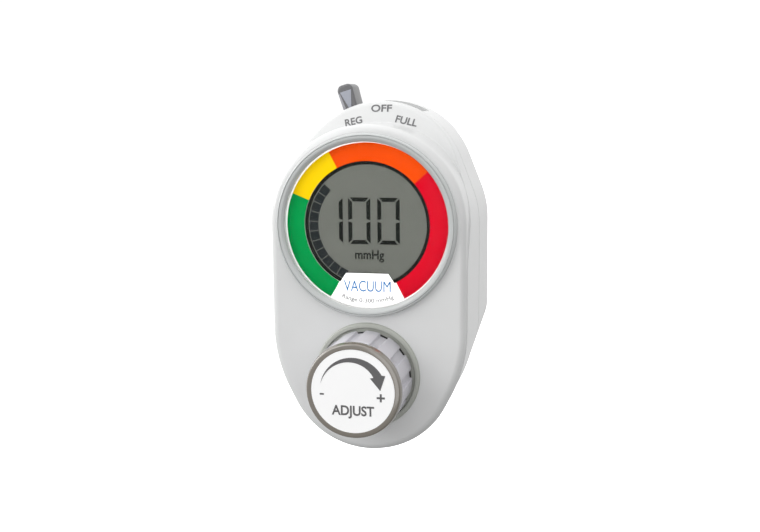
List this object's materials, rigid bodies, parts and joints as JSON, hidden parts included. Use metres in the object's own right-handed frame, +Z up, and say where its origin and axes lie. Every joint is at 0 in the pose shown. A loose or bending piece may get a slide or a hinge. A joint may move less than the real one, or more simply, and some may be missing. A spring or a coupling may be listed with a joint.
{
  "type": "vacuum regulator",
  "caption": "Wall-mounted digital vacuum regulator for suction, with a round colour-zoned gauge, an adjusting knob and a mode lever.",
  "frame": {"origin": "centre of the rear inlet's mouth, on the flat back of the housing", "axes": "+Y out of the rear inlet, into the wall; +Z up; +X to the right seen from the front, which faces -Y"},
  "size_m": [0.0892, 0.0863, 0.1615],
  "materials": {
    "housing_white": "gloss moulded, off-white",
    "bezel_clear": "polished pale grey",
    "lens_clear": "clear polished",
    "dial_print": "printed coloured zones under a clear coat",
    "lcd_grey": "grey liquid crystal panel",
    "knob_grey": "satin moulded grey",
    "knob_taupe": "satin moulded taupe",
    "knob_label": "printed white label",
    "lever_grey": "satin moulded grey",
    "collar_grey": "satin moulded pale grey",
    "brass": "machined",
    "steel": "zinc-plated",
    "spring_steel": "drawn wire",
    "aluminium": "machined, clear anodised",
    "black_rubber": "moulded",
    "silicone": "translucent silicone",
    "black_plastic": "moulded",
    "board_green": "solder mask",
    "bronze_filter": "sintered"
  },
  "bodies": {
    "housing": {"front_cover": "housing_white", "rear_housing": "housing_white", "housing_screws": "steel", "gauge_bezel": "bezel_clear", "gauge_lens": "lens_clear", "dial_plate": "dial_print", "gauge_seal": "black_rubber", "lcd_panel": "lcd_grey", "lcd_frame": "black_plastic", "lcd_connectors": "black_rubber", "circuit_board": "board_green", "board_chips": "black_plastic", "cell_holder": "black_plastic", "coin_cell": "steel", "pressure_sensor": "black_plastic", "sensor_tube": "silicone", "gauge_case": "black_plastic", "gauge_case_screws": "steel", "knob_collar": "collar_grey", "spindle_bush": "brass", "spring_bonnet": "aluminium", "bonnet_screws": "steel", "diaphragm": "black_rubber", "valve_seat": "brass", "poppet_spring": "spring_steel", "valve_plug": "brass", "manifold_block": "aluminium", "manifold_screws": "steel", "selector_retainer": "steel", "retainer_screws": "steel", "detent_ball": "steel", "detent_spring": "spring_steel", "inlet_fitting": "brass", "inlet_filter": "bronze_filter", "outlet_fitting": "brass", "port_o_rings": "black_rubber"},
    "knob": {"knob_body": "knob_grey", "knob_rim": "knob_taupe", "knob_disc": "knob_label", "knob_screw": "steel", "adjusting_spindle": "steel"},
    "carrier": {"spring_carrier": "brass", "range_spring": "spring_steel"},
    "valve": {"diaphragm_plate": "aluminium", "valve_poppet": "brass"},
    "lever": {"mode_lever": "lever_grey", "lever_screw": "steel", "selector_rotor": "brass", "selector_o_rings": "black_rubber"}
  },
  "joints": [
    {"name": "lever_turn", "type": "hinge", "parent": "housing", "child": "lever", "pos_m": [0, -0.015, 0.032], "axis": [0, 1, 0], "range_deg": [0, 33.4]},
    {"name": "knob_turn", "type": "hinge", "parent": "housing", "child": "knob", "pos_m": [0, -0.07, -0.0325], "axis": [0, 1, 0], "range_deg": [-360, 720]},
    {"name": "carrier_slide", "type": "slide", "parent": "housing", "child": "carrier", "axis": [0, 1, 0], "range_m": [-0.001, 0.002], "deforming": ["range_spring"]},
    {"name": "valve_slide", "type": "slide", "parent": "housing", "child": "valve", "axis": [0, 1, 0], "range_m": [-0.0003, 0.0006], "stiffness_N_per_m": 3000, "deforming": ["poppet_spring", "diaphragm"]}
  ],
  "couplings": [
    {"joint": "carrier_slide", "follows": "knob_turn", "m_per_rad": 0.00015915}
  ]
}
